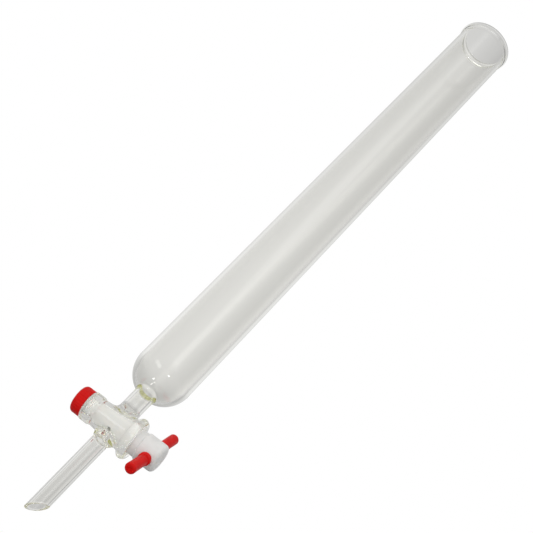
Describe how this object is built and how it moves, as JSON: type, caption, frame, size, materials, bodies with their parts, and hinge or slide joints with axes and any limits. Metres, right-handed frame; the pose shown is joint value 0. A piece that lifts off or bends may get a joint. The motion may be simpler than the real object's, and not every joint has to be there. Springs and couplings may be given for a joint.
{
  "type": "chromatography column",
  "caption": "Glass chromatography column with a beaded open mouth, a domed bottom and a PTFE stopcock turned by a red T-handle above a bevelled outlet.",
  "frame": {"origin": "on the tube's axis, halfway up its straight wall, where a stand's clamp grips it", "axes": "+Z along the tube's axis towards the open mouth, +X along the stopcock towards its T-handle, +Y at right angles to both"},
  "size_m": [0.0479, 0.0318, 0.3964],
  "materials": {
    "glass": "clear borosilicate glass, fire-polished, olive-grey where it is thick",
    "ptfe": "translucent white PTFE, turned, waxy satin",
    "red_plastic": "moulded red plastic, satin gloss",
    "rubber": "black rubber, matt"
  },
  "bodies": {
    "glass": {"column_tube": "glass", "neck_tube": "glass", "stopcock_barrel": "glass", "outlet_tube": "glass"},
    "plug": {"plug": "ptfe", "t_handle": "red_plastic"},
    "seal": {"washer": "ptfe", "o_ring": "rubber"},
    "nut": {"nut": "red_plastic"}
  },
  "joints": [
    {"name": "plug_turn", "type": "hinge", "parent": "glass", "child": "plug", "pos_m": [0, 0, -0.188], "axis": [1, 0, 0], "continuous": true},
    {"name": "nut_travel", "type": "slide", "parent": "plug", "child": "seal", "axis": [-1, 0, 0], "range_m": [0, 0.00187]},
    {"name": "nut_turn", "type": "hinge", "parent": "seal", "child": "nut", "pos_m": [-0.019, 0, -0.188], "axis": [-1, 0, 0], "range_deg": [0, 540]}
  ],
  "couplings": [
    {"joint": "nut_turn", "follows": "nut_travel", "rad_per_m": 5026.5}
  ]
}
